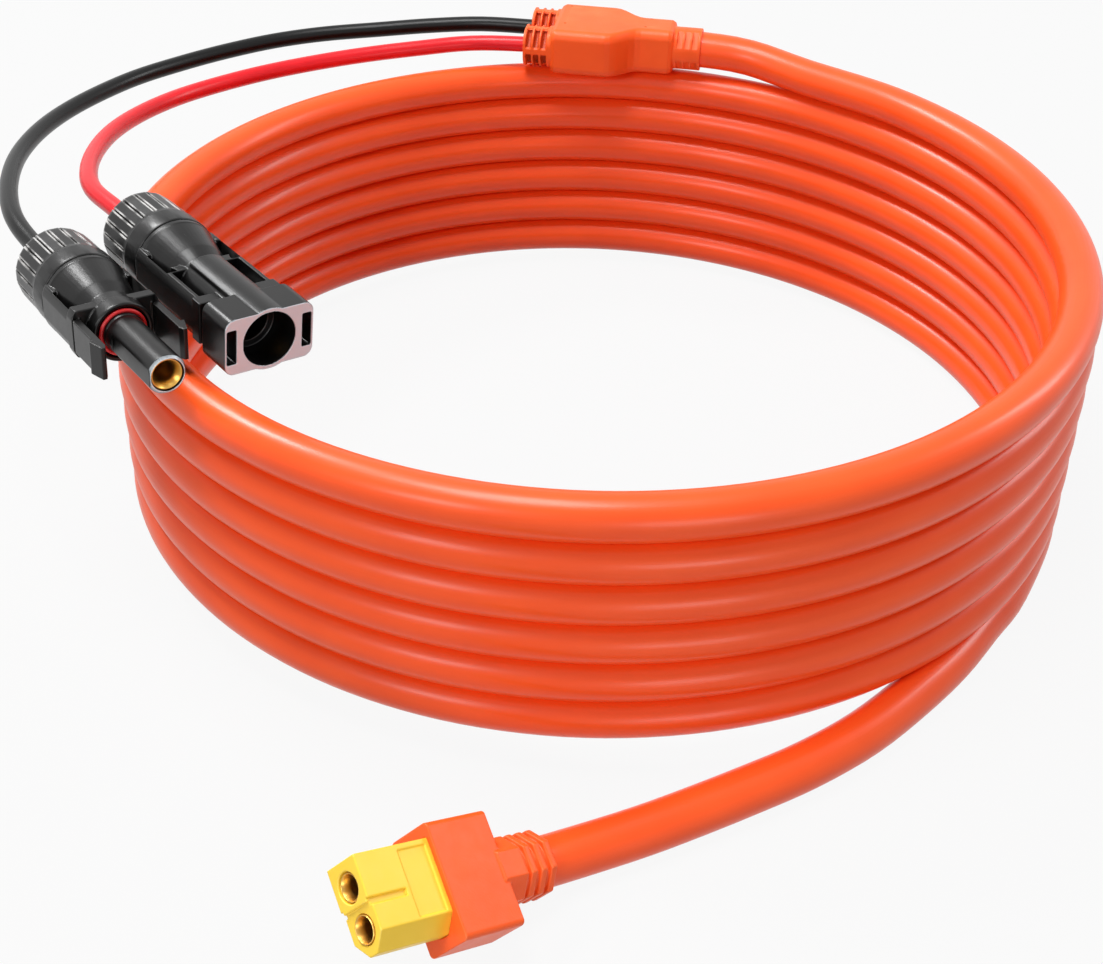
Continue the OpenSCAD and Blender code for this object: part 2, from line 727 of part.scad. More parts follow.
// One plug contact: a bored tube with a solder cup, at +Y of the middle for side = 1
module plug_contact(side) {
    front = 0.7;
    mouth_l = 1.6;
    mouth_cut = 0.55;
    color("goldenrod") at_plug() translate([0, side * plug_pitch / 2, 0]) difference() {
        bar(-contact_back - cup_l, -front, plug_contact_d);
        bar(-front - plug_bore_l, over, plug_bore_d);
        translate([-front - mouth_l, 0, 0]) rotate([0, 90, 0])
            cylinder(h = mouth_l + 0.01, d1 = plug_bore_d, d2 = plug_bore_d + 2 * mouth_cut, $fn = round_fn);
        bar(-contact_back - cup_l - over, -contact_back, cup_bore_d);
    }
}

module plug_contact_left() { plug_contact(-1); }
module plug_contact_right() { plug_contact(1); }

module plug_sleeves() {
    d = plug_contact_d + 2 * fit;
    color("dimgray") at_plug() for (side = [-1, 1])
        translate([0, side * plug_pitch / 2, 0]) difference() {
            bar(-contact_back - cup_l, -contact_back - 0.2, d + 2 * sleeve_t);
            bar(-contact_back - cup_l - over, -contact_back, d);
        }
}

module plug_conductors() {
    color("peru") at_plug() for (side = [-1, 1])
        translate([0, side * plug_pitch / 2, 0])
            bar(-contact_back - cup_l - 0.2, -contact_back - 0.4, copper_d);
}

// A core from the trunk's jacket to its solder cup, in the plug's own axes
function core_route(side) = [[-plug_back + jacket_inset, side * core_y, 0],
    [-plug_back + jacket_inset + 1.2, side * core_y, 0],
    [-contact_back - cup_l - 1.2, side * plug_pitch / 2, 0],
    [-contact_back - cup_l - 0.2, side * plug_pitch / 2, 0]];

module plug_red_core() {
    color("crimson") at_plug() tube(core_route(-1), lead_d / 2, lead_sides);
}

module plug_black_core() {
    color("black") at_plug() tube(core_route(1), lead_d / 2, lead_sides);
}

module plug_overmould() {
    neck_from = plug_l + shell_l;
    ring_pitch = 2.4;
    ring_l = 1.5;
    ring_inset = 0.4;
    edge_r = 1;
    core_d = 10.8;
    ring_from = plug_back - neck_rings * ring_pitch;
    cup_d = plug_contact_d + 4 * fit + 2 * sleeve_t;
    color("orangered") at_plug() difference() {
        union() {
            round_block(-neck_from, -plug_l, shell_w, shell_t, edge_r);
            translate([-plug_back, 0, 0]) bar(0, plug_back - neck_from + over, core_d);
            rotate([22.5, 0, 0]) translate([-ring_from, 0, 0]) rotate([0, 90, 0])
                cylinder(h = ring_from - neck_from + over, d = neck_d, $fn = 8);
            for (i = [0 : neck_rings - 1])
                translate([-plug_back + ring_inset + i * ring_pitch, 0, 0]) bar(0, ring_l, neck_d - 0.4);
        }
        keyed_prism(-contact_back - fit, -plug_l + over, plug_w + 2 * fit, plug_t + 2 * fit, key_cut);
        for (side = [-1, 1]) {
            translate([0, side * plug_pitch / 2, 0]) bar(-contact_back - cup_l - 0.3, -contact_back + over, cup_d);
            tube(core_route(side), lead_d / 2 + 2 * fit, lead_sides);
        }
        bar(-plug_back - over, -plug_back + jacket_inset + 0.1, cable_d + 2 * fit);
    }
}

trunk_coil();
trunk_first_turn();
trunk_tail();
black_lead();
red_lead();
splitter_overmould();
splitter_inner_mould();
socket_housing();
socket_latch_left();
socket_latch_right();
socket_o_ring();
socket_contact();
socket_contact_band();
socket_conductor();
socket_seal();
socket_clamp_cage();
socket_nut();
pin_housing();
pin_contact();
pin_conductor();
pin_seal();
pin_clamp_cage();
pin_nut();
plug_housing();
plug_contact_left();
plug_contact_right();
plug_overmould();
plug_red_core();
plug_black_core();
plug_sleeves();
plug_conductors();
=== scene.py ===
"""Coiled solar adapter lead: the looks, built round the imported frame. Metres, +Z up."""
import json
import math

import bmesh
import bpy
import numpy as np
from mathutils import Matrix, Vector


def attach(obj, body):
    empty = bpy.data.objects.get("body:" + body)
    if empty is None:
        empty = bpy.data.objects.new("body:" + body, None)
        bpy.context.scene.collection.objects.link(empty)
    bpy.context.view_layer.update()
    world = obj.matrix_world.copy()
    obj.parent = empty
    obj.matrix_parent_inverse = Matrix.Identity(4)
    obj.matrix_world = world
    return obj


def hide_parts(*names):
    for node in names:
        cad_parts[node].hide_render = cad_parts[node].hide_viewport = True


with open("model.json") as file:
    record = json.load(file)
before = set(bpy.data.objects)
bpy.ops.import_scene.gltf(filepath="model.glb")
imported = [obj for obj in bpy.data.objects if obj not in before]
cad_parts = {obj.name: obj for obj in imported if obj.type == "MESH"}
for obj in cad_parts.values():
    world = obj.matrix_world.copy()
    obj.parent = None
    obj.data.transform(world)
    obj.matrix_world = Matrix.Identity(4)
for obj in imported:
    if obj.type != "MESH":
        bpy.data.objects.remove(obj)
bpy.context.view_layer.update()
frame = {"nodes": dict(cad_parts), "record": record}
NODES = frame["nodes"]
MM = 0.001
SET = "cable_set"

# ---------------------------------------------------------------- places, as in part.scad (mm)
COIL_AT = Vector((47.4, 24.4, 0))
CABLE_D, LEAD_D = 9.4, 4.1
COIL_R, TURN_RISE, TOP_Z = 105, 9.4, 63.45
SPLITTER_END, RELIEF_L, LEAD_SPACING = 23.7, 7.2, 13.2
NUT_L, FRONT_L, STUB_L, STUB_D = 17.0, 37.5, 10.0, 15.0
O_RING_X, O_RING_R, O_RING_T = 17.7, 4.55, 0.84
PLUG_L, SHELL_L, NECK_L, PLUG_PITCH = 15.5, 13.3, 12.0, 7.2
PLUG_BACK = PLUG_L + SHELL_L + NECK_L


def placing(at, roll, lift, heading):
    """A connector's own axes, in millimetres, to the row frame in metres."""
    turn = (Matrix.Rotation(math.radians(heading), 4, "Z")
            @ Matrix.Rotation(math.radians(-lift), 4, "Y")
            @ Matrix.Rotation(math.radians(roll), 4, "X"))
    return Matrix.Scale(MM, 4) @ Matrix.Translation(COIL_AT + Vector(at)) @ turn


AT_COIL = placing((0, 0, 0), 0, 0, 0)
AT_SOCKET = placing((-102.8, -51.4, 69.1), -4, 1, -52)
AT_PIN = placing((-87.5, -38.4, 71), -5, -1.5, -49.6)
AT_PLUG = placing((-36.2, -163.6, 21.4), -33, 22, -138.5)
AT_SPLITTER = placing((1.5, COIL_R, TOP_Z + 1.7), 0, 0, -7.5)


def on(place, x, y=0.0, z=0.0):
    """A point on a connector, from its own axes."""
    return place @ Vector((x, y, z))


# ---------------------------------------------------------------- camera
CAMERA_AT = Vector((0.04633, -0.3246, 0.2394))
YAW, TILT, ROLL = (math.radians(a) for a in (-1.53, 35.39, 1.32))
LENS, SENSOR = 56.11, 36.0

forward = Vector((math.sin(YAW) * math.cos(TILT), math.cos(YAW) * math.cos(TILT), -math.sin(TILT)))
level = Vector((math.cos(YAW), -math.sin(YAW), 0))
upward = level.cross(forward)
right = level * math.cos(ROLL) + upward * math.sin(ROLL)
above = upward * math.cos(ROLL) - level * math.sin(ROLL)
camera = bpy.data.objects.new("camera", bpy.data.cameras.new("camera"))
bpy.context.scene.collection.objects.link(camera)
camera.data.lens, camera.data.sensor_width = LENS, SENSOR
camera.data.clip_start, camera.data.clip_end = 0.01, 20
camera.matrix_world = Matrix.Translation(CAMERA_AT) @ Matrix(
    ([right.x, above.x, -forward.x, 0], [right.y, above.y, -forward.y, 0],
     [right.z, above.z, -forward.z, 0], [0, 0, 0, 1]))
bpy.context.scene.camera = camera
bpy.context.scene.view_settings.view_transform = "Standard"


# ---------------------------------------------------------------- materials
class Nodes:
    """A material's node tree, built a node at a time."""

    def __init__(self, name, **principled):
        self.material = bpy.data.materials.new(name)
        self.material.use_nodes = True
        self.tree = self.material.node_tree
        self.shader = self.tree.nodes["Principled BSDF"]
        for socket, value in principled.items():
            self.shader.inputs[socket.replace("_", " ")].default_value = value

    def add(self, kind, links=(), **values):
        node = self.tree.nodes.new(kind)
        for key, value in values.items():
            if hasattr(node, key):
                setattr(node, key, value)
            else:
                node.inputs[key.replace("_", " ")].default_value = value
        for socket, source in dict(links).items():
            self.tree.links.new(source, node.inputs[socket])
        return node

    def to_shader(self, socket, source):
        self.tree.links.new(source, self.shader.inputs[socket])

    def coordinates(self, kind="Object"):
        return self.add("ShaderNodeTexCoord").outputs[kind]

    def noise(self, where, scale, detail=3.0, roughness=0.5):
        return self.add("ShaderNodeTexNoise", {"Vector": where}, Scale=scale, Detail=detail,
                        Roughness=roughness).outputs["Fac"]

    def span(self, value, low, high, to_low=0.0, to_high=1.0):
        node = self.add("ShaderNodeMapRange")
        self.tree.links.new(value, node.inputs["Value"])
        for socket, number in (("From Min", low), ("From Max", high),
                               ("To Min", to_low), ("To Max", to_high)):
            node.inputs[socket].default_value = number
        return node.outputs["Result"]

    def blend(self, factor, a, b):
        node = self.add("ShaderNodeMix", data_type="RGBA")
        self.tree.links.new(factor, node.inputs["Factor"])
        for socket, colour in ((6, a), (7, b)):
            if isinstance(colour, tuple):
                node.inputs[socket].default_value = (*colour, 1)
            else:
                self.tree.links.new(colour, node.inputs[socket])
        return node.outputs[2]

    def maths(self, operation, a, b):
        node = self.add("ShaderNodeMath", operation=operation)
        for socket, value in ((0, a), (1, b)):
            if isinstance(value, (int, float)):
                node.inputs[socket].default_value = value
            else:
                self.tree.links.new(value, node.inputs[socket])
        return node.outputs[0]

    def value(self, attribute):
        """A number stored on the mesh's vertices: edge is -1 in a hollow and 1 on a sharp corner."""
        return self.add("ShaderNodeAttribute", attribute_name=attribute).outputs["Fac"]

    def bump(self, height, strength, distance, normal=None):
        node = self.add("ShaderNodeBump", {"Height": height}, Strength=strength, Distance=distance)
        if normal is not None:
            self.tree.links.new(normal, node.inputs["Normal"])
        return node.outputs["Normal"]


def linear(r, g, b):
    """An sRGB colour, 0 to 255, as the linear values that a shader takes."""
    return tuple((c / 255 / 12.92) if c <= 10 else ((c / 255 + 0.055) / 1.055) ** 2.4 for c in (r, g, b))


def moulded(name, colour, darker, rough, grain_scale, grain, edge=None, face=None, **principled):
    """Moulded plastic: slow colour and gloss variation over a fine grain, with a painted highlight on sharp
    corners, painted shade in hollows and, where face is given, a painted highlight on the front faces.
    """
    m = Nodes(name, **principled)
    where = m.coordinates()
    slow = m.noise(where, 90, 2)
    fine = m.noise(where, grain_scale, 4, 0.6)
    # A sharp corner takes a patchy painted highlight in the edge colour, up to EDGE_SHOWS of it.
    base = m.blend(m.span(slow, 0.35, 0.7), colour, darker)
    if edge:
        painted_edge_highlight = m.maths("MULTIPLY", m.span(m.value("edge"), 0.05, 1, 0, EDGE_SHOWS),
                         m.span(m.noise(where, 210, 2), 0.4, 0.62, 0.12, 1))
        base = m.blend(painted_edge_highlight, base, edge)
    # Hollows and creases, where edge is negative, get painted shade: a darker copy of the plastic.
    base = m.blend(m.span(m.value("edge"), -0.1, -1, 0, 0.55), base, tuple(0.35 * c for c in darker))
    gloss = m.span(m.noise(where, 420, 3), 0.3, 0.7, rough - 0.02, rough + 0.03)
    # Front faces get a painted highlight: a light grey colour for the light falling on them, a little
    # rougher and half metallic.
    if face:
        front = m.value("face")
        base = m.blend(front, base, face)
        gloss = m.maths("ADD", gloss, m.maths("MULTIPLY", front, 0.12))
        m.to_shader("Metallic", m.maths("MULTIPLY", front, 0.5))
    m.to_shader("Base Color", base)
    m.to_shader("Roughness", gloss)
    m.to_shader("Normal", m.bump(fine, grain, 0.0002))
    return m.material


def extruded(name, colour, darker, rough, **principled):
    """Cable sheath: fine streaks along the cable, slow colour variation and a faint orange peel."""
    m = Nodes(name, **principled)
    where = m.coordinates()
    split = m.add("ShaderNodeSeparateXYZ", {"Vector": m.add("ShaderNodeUVMap", uv_map="along").outputs[0]})
    turn = m.maths("MULTIPLY", split.outputs["X"], 2 * math.pi)
    round_it = m.add("ShaderNodeCombineXYZ", {
        "X": m.maths("COSINE", turn, 0), "Y": m.maths("SINE", turn, 0),
        "Z": m.maths("MULTIPLY", split.outputs["Y"], 6)}).outputs[0]
    streaks = m.noise(round_it, 9, 3, 0.6)
    base = m.blend(m.span(m.noise(where, 60, 2), 0.35, 0.7), colour, darker)
    m.to_shader("Base Color", m.blend(m.span(streaks, 0.45, 0.75, 0, 0.35), base, darker))
    m.to_shader("Roughness", m.span(streaks, 0.3, 0.7, rough - 0.04, rough + 0.05))
    relief = m.bump(streaks, 0.12, 0.0002)
    m.to_shader("Normal", m.bump(m.noise(where, 900, 3), 0.06, 0.0002, relief))
    return m.material


def metal(name, colour, darker, rough):
    """Turned metal: slow colour variation, uneven gloss and a faint grain."""
    m = Nodes(name, Metallic=1.0)
    where = m.coordinates()
    m.to_shader("Base Color", m.blend(m.span(m.noise(where, 120, 2), 0.3, 0.7), colour, darker))
    m.to_shader("Roughness", m.span(m.noise(where, 400, 3), 0.3, 0.7, rough - 0.03, rough + 0.04))
    m.to_shader("Normal", m.bump(m.noise(where, 2600, 2), 0.04, 0.0001))
    return m.material


EDGE_SHOWS = 0.8   # how much of its painted highlight colour a sharp corner takes
MATERIALS = {
    # Each edge colour below is a painted highlight laid on sharp corners.
    "orange_sheath": extruded("orange_sheath", linear(253, 90, 32), linear(249, 85, 29), 0.36,
                              Specular_IOR_Level=0.3, Coat_Weight=0.15, Coat_Roughness=0.2),
    "orange_moulding": moulded("orange_moulding", linear(253, 98, 36), linear(249, 92, 32), 0.40, 2600,
                               0.14, edge=linear(255, 140, 90), Specular_IOR_Level=0.3),
    "red_insulation": extruded("red_insulation", linear(222, 28, 38), linear(206, 22, 32), 0.30,
                               Specular_IOR_Level=0.3),
    "black_insulation": extruded("black_insulation", linear(10, 10, 10), linear(7, 7, 7), 0.30,
                                 Specular_IOR_Level=0.22),
    # The face colour is a light grey painted highlight on the connectors' front faces.
    "black_shell": moulded("black_shell", linear(13, 12, 12), linear(9, 9, 9), 0.30, 2200, 0.04,
                           edge=linear(226, 224, 222), face=linear(208, 217, 223), Specular_IOR_Level=0.34),
    "yellow_shell": moulded("yellow_shell", linear(255, 213, 66), linear(251, 208, 59), 0.38, 2600, 0.10,
                            edge=linear(255, 232, 130), Specular_IOR_Level=0.35),
    "ivory_core": moulded("ivory_core", linear(232, 226, 206), linear(224, 216, 196), 0.5, 1500, 0.1),
    "grey_cage": moulded("grey_cage", linear(130, 132, 136), linear(118, 120, 124), 0.5, 1500, 0.1),
    "dark_sleeve": moulded("dark_sleeve", linear(36, 36, 36), linear(28, 28, 28), 0.5, 1500, 0.1),
    "grey_rubber": moulded("grey_rubber", linear(62, 62, 62), linear(54, 54, 54), 0.6, 1500, 0.2),
    "red_rubber": moulded("red_rubber", linear(224, 40, 44), linear(206, 32, 36), 0.38, 2200, 0.12),
    "brass": metal("brass", linear(222, 182, 100), linear(198, 154, 76), 0.33),
    "copper": metal("copper", linear(214, 138, 96), linear(190, 110, 74), 0.32),
}
for part in frame["record"]["subparts"]:
    NODES[part["node"]].data.materials.clear()
    NODES[part["node"]].data.materials.append(MATERIALS[part["material_slot"]])


# ---------------------------------------------------------------- making pieces
def piece(name, mesh, slot, body=SET, replaces=()):
    """An object from a mesh in the row frame, with its material, body and replaced CAD nodes."""
    made = bpy.data.objects.new(name, mesh)
    bpy.context.scene.collection.objects.link(made)
    mesh.materials.clear()
    mesh.materials.append(MATERIALS[slot])
    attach(made, body)
    if replaces:
        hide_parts(*replaces)
    return made


def smooth_path(route, step):
    """Points about step apart on a smooth curve through a route."""
    points = []
    last = len(route) - 1
    for i in range(last):
        a, b, c, d = (route[max(0, min(last, j))] for j in (i - 1, i, i + 1, i + 2))
        n = max(1, round((c - b).length / step))
        for k in range(n):
            t = k / n
            points.append(0.5 * (2 * b + (c - a) * t + (2 * a - 5 * b + 4 * c - d) * t * t
                                 + (3 * b - a - 3 * c + d) * t ** 3))
    return points + [route[last].copy()]


def tube(name, path, radius, sides):
    """A closed tube mesh on a path, with a UV map: turns round it, and metres along it."""
    bm = bmesh.new()
    uv = bm.loops.layers.uv.new("along")
    rings, travelled, lengths = [], 0.0, []
    side = None
    for i, p in enumerate(path):
        along = (path[min(i + 1, len(path) - 1)] - path[max(i - 1, 0)]).normalized()
        side = along.cross(Vector((0, 0, 1))) if side is None else side - along * side.dot(along)
        side.normalize()
        up = side.cross(along)
        travelled += (p - path[i - 1]).length if i else 0
        lengths.append(travelled)
        rings.append([bm.verts.new(p + radius * (math.cos(2 * math.pi * k / sides) * side
                                                 + math.sin(2 * math.pi * k / sides) * up))
                      for k in range(sides)])
    for i in range(len(path) - 1):
        for k in range(sides):
            n = (k + 1) % sides
            face = bm.faces.new((rings[i][k], rings[i][n], rings[i + 1][n], rings[i + 1][k]))
            face.smooth = True
            for loop, (u, v) in zip(face.loops, ((k, i), (k + 1, i), (k + 1, i + 1), (k, i + 1))):
                loop[uv].uv = (u / sides, lengths[v])
    bm.faces.new(list(reversed(rings[0])))
    bm.faces.new(rings[-1])
    bmesh.ops.recalc_face_normals(bm, faces=bm.faces)
    mesh = bpy.data.meshes.new(name)
    bm.to_mesh(mesh)
    bm.free()
    return mesh


# ---------------------------------------------------------------- cords
def on_coil(angle, z=None):
    """A point of the coil's helix, by default at the helix's own height."""
    a = math.radians(angle)
    return AT_COIL @ Vector((COIL_R * math.sin(a), COIL_R * math.cos(a),
                             TOP_Z - TURN_RISE * angle / 360 if z is None else z))


def in_coil(points):
    """Points given from the coil's axis, in the row frame."""
    return [AT_COIL @ Vector(p) for p in points]


FLOOR_ANGLE = 6 * 360 + 90          # where the lowest turn reaches the floor
TAIL_ANGLE = FLOOR_ANGLE + 30       # where the tail leaves the coil's circle
trunk_route = (
    [on(AT_SPLITTER, 8), on(AT_SPLITTER, SPLITTER_END)]
    + in_coil([(38, 99.4, TOP_Z + 0.8)])
    + [on_coil(a) for a in range(30, FLOOR_ANGLE, 15)]
    + [on_coil(a, CABLE_D / 2) for a in range(FLOOR_ANGLE, TAIL_ANGLE + 1, 15)]
    + in_coil([(x, y, CABLE_D / 2) for x, y in (
        (83, -65), (75, -77), (66, -88), (55, -99.6), (43, -109.2), (31, -116.8), (20.5, -123),
        (11.5, -128), (3, -132.2))])
    + [on(AT_PLUG, -PLUG_BACK), on(AT_PLUG, -PLUG_BACK + 10)])


def lead_start(side):
    """The start of a lead's route: out of the inner mould and through its strain relief."""
    return [on(AT_SPLITTER, x, side * y) for x, y in (
        (0, 2.9), (-8, LEAD_SPACING / 2), (-SPLITTER_END, LEAD_SPACING / 2))]


LEAD_IN, LEAD_END = -NUT_L - 8.5, -2.7   # where a lead is in line with its connector, and ends in it
black_route = lead_start(1) + in_coil([
    (-36, 117.2, 64.6), (-50, 117.4, 63.6), (-65, 115.6, 62.6), (-80, 112.4, 62), (-93, 107, 61.6),
    (-105, 98, 61.6), (-115, 88, 61.8), (-124, 76, 62.4), (-130.8, 62, 63.2), (-135.2, 48, 64.2),
    (-137.2, 34, 65.4), (-137.2, 20, 66.6), (-135.4, 7, 67.8), (-131.8, -7, 68.8), (-126.4, -20, 69.2),
]) + [on(AT_SOCKET, LEAD_IN), on(AT_SOCKET, LEAD_END)]
red_route = lead_start(-1) + in_coil([
    (-38, 102.4, 64.6), (-52, 99, 64), (-66, 94.6, 63.4), (-79, 88.6, 63), (-91, 80.6, 63),
    (-101.6, 71, 63.2), (-110, 59.6, 64), (-115.6, 46, 65.4), (-118.4, 32, 67), (-118.6, 18, 68.6),
    (-116.6, 4, 70.2), (-112.4, -8, 71.2),
]) + [on(AT_PIN, LEAD_IN), on(AT_PIN, LEAD_END)]


def cord(name, route, diameter, step, sides, slot, exit, length, nodes, **facts):
    """A cable as one tube on a smooth path through its route."""
    path = smooth_path(route, step)
    made = piece(name, tube(name, path, diameter / 2, sides), slot, SET, nodes)


TRUNK_MESH, LEAD_MESH = (0.004, 40), (0.003, 28)   # a step along the tube in metres, and its sides
cord("trunk_cable", trunk_route, CABLE_D * MM, *TRUNK_MESH, "orange_sheath",
     on(AT_SPLITTER, SPLITTER_END), 4.29, ("trunk_coil", "trunk_first_turn", "trunk_tail"),
     far_end="plug", stiffness="stiff", lay="coiled",
     with_pieces=["plug_housing", "plug_overmould", "plug_contact_left", "plug_contact_right"])
cord("black_lead_cable", black_route, LEAD_D * MM, *LEAD_MESH, "black_insulation",
     on(AT_SPLITTER, -SPLITTER_END, LEAD_SPACING / 2), 0.28, ("black_lead",),
     far_end="connector", stiffness="medium", lay="loose",
     with_pieces=["socket_housing", "socket_nut"])
cord("red_lead_cable", red_route, LEAD_D * MM, *LEAD_MESH, "red_insulation",
     on(AT_SPLITTER, -SPLITTER_END, -LEAD_SPACING / 2), 0.24, ("red_lead",),
     far_end="connector", stiffness="medium", lay="loose",
     with_pieces=["pin_housing", "pin_nut"])


# ---------------------------------------------------------------- solid pieces, in their own axes (mm)
def with_modifiers(mesh, *stack):
    """A mesh after a stack of modifiers, each a kind with its settings."""
    holder = bpy.data.objects.new("holder", mesh)
    bpy.context.scene.collection.objects.link(holder)
    for kind, settings in stack:
        modifier = holder.modifiers.new(kind, kind)
        for key, value in settings.items():
            setattr(modifier, key, value)
    made = bpy.data.meshes.new_from_object(holder.evaluated_get(bpy.context.evaluated_depsgraph_get()))
    bpy.data.objects.remove(holder)
    return made


def node_mesh(node, place):
    """A copy of a CAD node's mesh in a connector's own axes, with its seams welded."""
    mesh = NODES[node].data.copy()
    mesh.transform(place.inverted())
    bm = bmesh.new()
    bm.from_mesh(mesh)
    bmesh.ops.remove_doubles(bm, verts=bm.verts, dist=0.003)
    bm.to_mesh(mesh)
    bm.free()
    return mesh


def joined(*meshes):
    """Several meshes in one, each still a shape of its own."""
    bm = bmesh.new()
    for mesh in meshes:
        bm.from_mesh(mesh)
    made = bpy.data.meshes.new("joined")
    bm.to_mesh(made)
    bm.free()
    return made


def carved(mesh, *cutters):
    """A mesh less some closed cutters that don't meet each other."""
    tool = bpy.data.objects.new("cutter", joined(*cutters))
    bpy.context.scene.collection.objects.link(tool)
    made = with_modifiers(mesh, ("BOOLEAN", {"operation": "DIFFERENCE", "solver": "MANIFOLD",
                                             "object": tool}))
    bpy.data.objects.remove(tool)
    return made


def softened(mesh, voxel, rounds, keep):
    """Joins overlapping closed shapes, rounds their corners as a mould does, and thins the mesh."""
    return with_modifiers(mesh, ("REMESH", {"mode": "VOXEL", "voxel_size": voxel}),
                          ("SMOOTH", {"factor": 0.5, "iterations": rounds}),
                          ("DECIMATE", {"ratio": keep}))


def revolved(profile, columns, shape=None):
    """A closed profile of (x, radius) turned about X. shape, given a radius, its point of the profile,
    its column and its angle, may return another radius and angle."""
    bm = bmesh.new()
    rings = []
    for i, (x, r) in enumerate(profile):
        ring = []
        for k in range(columns):
            angle = 2 * math.pi * k / columns
            here = shape(r, i, k, angle) if shape else (r, angle)
            ring.append(bm.verts.new((x, here[0] * math.cos(here[1]), here[0] * math.sin(here[1]))))
        rings.append(ring)
    for i in range(len(profile)):
        for k in range(columns):
            ahead, n = rings[(i + 1) % len(profile)], (k + 1) % columns
            bm.faces.new((rings[i][k], rings[i][n], ahead[n], ahead[k]))
    bmesh.ops.remove_doubles(bm, verts=bm.verts, dist=1e-5)
    bmesh.ops.dissolve_degenerate(bm, dist=1e-6, edges=bm.edges)
    bmesh.ops.delete(bm, geom=[e for e in bm.edges if not e.link_faces], context="EDGES")
    bmesh.ops.recalc_face_normals(bm, faces=bm.faces)
    mesh = bpy.data.meshes.new("revolved")
    bm.to_mesh(mesh)
    bm.free()
    return mesh


def box_mesh(low, high):
    """A box between two corners, for cutting."""
    bm = bmesh.new()
    bmesh.ops.create_cube(bm, size=1)
    for v in bm.verts:
        v.co = Vector([(a + b) / 2 + c * (b - a) for a, b, c in zip(low, high, v.co)])
    mesh = bpy.data.meshes.new("box")
    bm.to_mesh(mesh)
    bm.free()
    return mesh


def dot_mesh(at, radius):
    """A small ball, for cutting a dimple."""
    bm = bmesh.new()
    bmesh.ops.create_icosphere(bm, subdivisions=2, radius=radius, matrix=Matrix.Translation(at))
    mesh = bpy.data.meshes.new("dot")
    bm.to_mesh(mesh)
    bm.free()
    return mesh


def mark_shape(mesh, face_at=None, shows=1.0):
    """Stores how far each vertex stands on a corner (1) or in a hollow (-1), for painted highlights and
    painted shade, and which face the front, for a painted highlight.
    """
    n = len(mesh.vertices)
    place, facing = np.empty(3 * n, np.float32), np.empty(3 * n, np.float32)
    mesh.vertices.foreach_get("co", place)
    mesh.vertex_normals.foreach_get("vector", facing)
    place, facing = place.reshape(-1, 3), facing.reshape(-1, 3)
    pairs = np.empty(2 * len(mesh.edges), np.int32)
    mesh.edges.foreach_get("vertices", pairs)
    a, b = pairs.reshape(-1, 2).T
    ends, others = np.concatenate((a, b)), np.concatenate((b, a))
    count = np.maximum(np.bincount(ends, minlength=n), 1)

    def mean(values):
        return np.bincount(ends, values[others], minlength=n) / count

    apart = np.linalg.norm(place[ends] - place[others], axis=1)
    spacing = np.maximum(np.bincount(ends, apart, minlength=n) / count, 1e-9)
    middle = np.stack([mean(place[:, i]) for i in range(3)], axis=1)
    bend = ((place - middle) * facing).sum(axis=1) / spacing
    bend = np.sign(bend) * np.clip((np.abs(bend) - 0.05) / 0.16, 0, 1)
    for _ in range(3):
        bend = 0.5 * bend + 0.5 * mean(bend)
    # shows scales the corners' painted highlight.
    bend = np.where(bend > 0, bend * shows, bend)
    mesh.attributes.new("edge", "FLOAT", "POINT").data.foreach_set("value", bend.astype(np.float32))
    front = np.zeros(n, np.float32)
    if face_at is not None:
        front = np.clip((facing[:, 0] - 0.55) / 0.3, 0, 1) * (place[:, 0] > face_at)
    mesh.attributes.new("face", "FLOAT", "POINT").data.foreach_set("value", front.astype(np.float32))


def mark_hollows(mesh, hollows, margin=0.15, side_margin=0.05, floor_margin=0.1, deep=0.45):
    """Marks the vertices in the deep share of box-shaped hollows as -1 in edge, which paints shade into
    them.
    """
    edge = mesh.attributes["edge"].data
    for at, low, high in hollows:
        back = at.inverted()
        bottom, top = low[2] - floor_margin, low[2] + deep * (high[2] - low[2])
        for v in mesh.vertices:
            if abs(v.co.x - at.translation.x) < high[0] + margin:
                here = back @ v.co
                if abs(here.y) < high[1] + side_margin and bottom < here.z < top:
                    edge[v.index].value = -1


def solid(name, mesh, place, slot, body, replaces, face_at=None, edges=None, shows=1.0,
          hollows=()):
    """A piece from a mesh in a connector's own axes; face_at is the x past which its front is marked for a
    painted highlight.
    """
    mark_shape(mesh, face_at, shows)
    mark_hollows(mesh, hollows)
    if edges:
        mesh.attributes["edge"].data.foreach_set("value", edges)
    mesh.transform(place)
    mesh.shade_smooth()
    mesh = with_modifiers(mesh, ("WEIGHTED_NORMAL", {"weight": 60}))
    mesh.name = name
    return piece(name, mesh, slot, body, replaces)


# ---- cap nuts
FLUTES = 20
FLUTE_STEPS = (0.0, 0.15, 0.28, 0.33, 0.405, 0.425, 0.45, 0.5, 0.55, 0.575, 0.595, 0.67, 0.72, 0.85)
FLUTE_DEPTHS = (0, 0, 0, 0, 0, 0.1, 1, 1, 1, 0.1, 0, 0, 0, 0)
